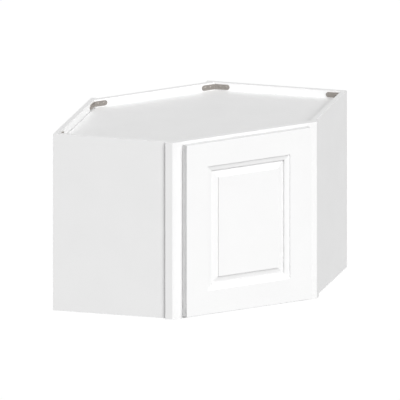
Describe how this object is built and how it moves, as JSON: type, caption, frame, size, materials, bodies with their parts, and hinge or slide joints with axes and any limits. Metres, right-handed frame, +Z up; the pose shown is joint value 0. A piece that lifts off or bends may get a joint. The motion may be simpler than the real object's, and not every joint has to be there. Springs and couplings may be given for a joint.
{
  "type": "corner wall cabinet",
  "caption": "Diagonal corner wall cabinet in white paint: bevelled face frame, one raised-panel door on concealed hinges, shelf inside, steel straps in the recess on top.",
  "frame": {"origin": "centre of the bounding box, on the plane of the case's lower edges", "axes": "+X to the right along the closed door, +Y back towards the room corner, +Z up; the door faces -Y"},
  "size_m": [0.8464, 0.5048, 0.4572],
  "materials": {
    "white_paint": "smooth satin white paint over wood and board",
    "white_board": "white faced board, low sheen",
    "zinc": "zinc plated steel, dull grey",
    "nickel": "nickel plated steel",
    "clear_rubber": "soft milky rubber"
  },
  "bodies": {
    "cabinet": {"left_side_panel": "white_paint", "right_side_panel": "white_paint", "left_back_panel": "white_paint", "right_back_panel": "white_paint", "corner_back_panel": "white_paint", "top_panel": "white_board", "bottom_panel": "white_board", "adjustable_shelf": "white_board", "frame_left_stile": "white_paint", "frame_right_stile": "white_paint", "frame_bottom_rail": "white_paint", "frame_top_rail": "white_paint", "left_front_shelf_pin": "nickel", "left_back_shelf_pin": "nickel", "right_front_shelf_pin": "nickel", "right_back_shelf_pin": "nickel", "left_side_strap": "zinc", "left_side_strap_screw_1": "zinc", "left_side_strap_screw_2": "zinc", "left_side_strap_screw_3": "zinc", "left_side_strap_screw_4": "zinc", "left_corner_strap": "zinc", "left_corner_strap_screw_1": "zinc", "left_corner_strap_screw_2": "zinc", "left_corner_strap_screw_3": "zinc", "left_corner_strap_screw_4": "zinc", "right_side_strap": "zinc", "right_side_strap_screw_1": "zinc", "right_side_strap_screw_2": "zinc", "right_side_strap_screw_3": "zinc", "right_side_strap_screw_4": "zinc", "right_corner_strap": "zinc", "right_corner_strap_screw_1": "zinc", "right_corner_strap_screw_2": "zinc", "right_corner_strap_screw_3": "zinc", "right_corner_strap_screw_4": "zinc", "lower_hinge_arm": "nickel", "lower_hinge_arm_lower_screw": "zinc", "lower_hinge_arm_upper_screw": "zinc", "upper_hinge_arm": "nickel", "upper_hinge_arm_lower_screw": "zinc", "upper_hinge_arm_upper_screw": "zinc"},
    "door": {"door_hinge_stile": "white_paint", "door_free_stile": "white_paint", "door_bottom_rail": "white_paint", "door_top_rail": "white_paint", "door_raised_panel": "white_paint", "lower_door_bumper": "clear_rubber", "upper_door_bumper": "clear_rubber", "lower_hinge_cup": "nickel", "lower_hinge_pin": "nickel", "lower_hinge_cup_lower_screw": "zinc", "lower_hinge_cup_upper_screw": "zinc", "upper_hinge_cup": "nickel", "upper_hinge_pin": "nickel", "upper_hinge_cup_lower_screw": "zinc", "upper_hinge_cup_upper_screw": "zinc"}
  },
  "joints": [
    {"name": "door_hinge", "type": "hinge", "parent": "cabinet", "child": "door", "pos_m": [-0.17215, -0.24301, 0.2286], "axis": [0, 0, -1], "range_deg": [0, 100]}
  ]
}
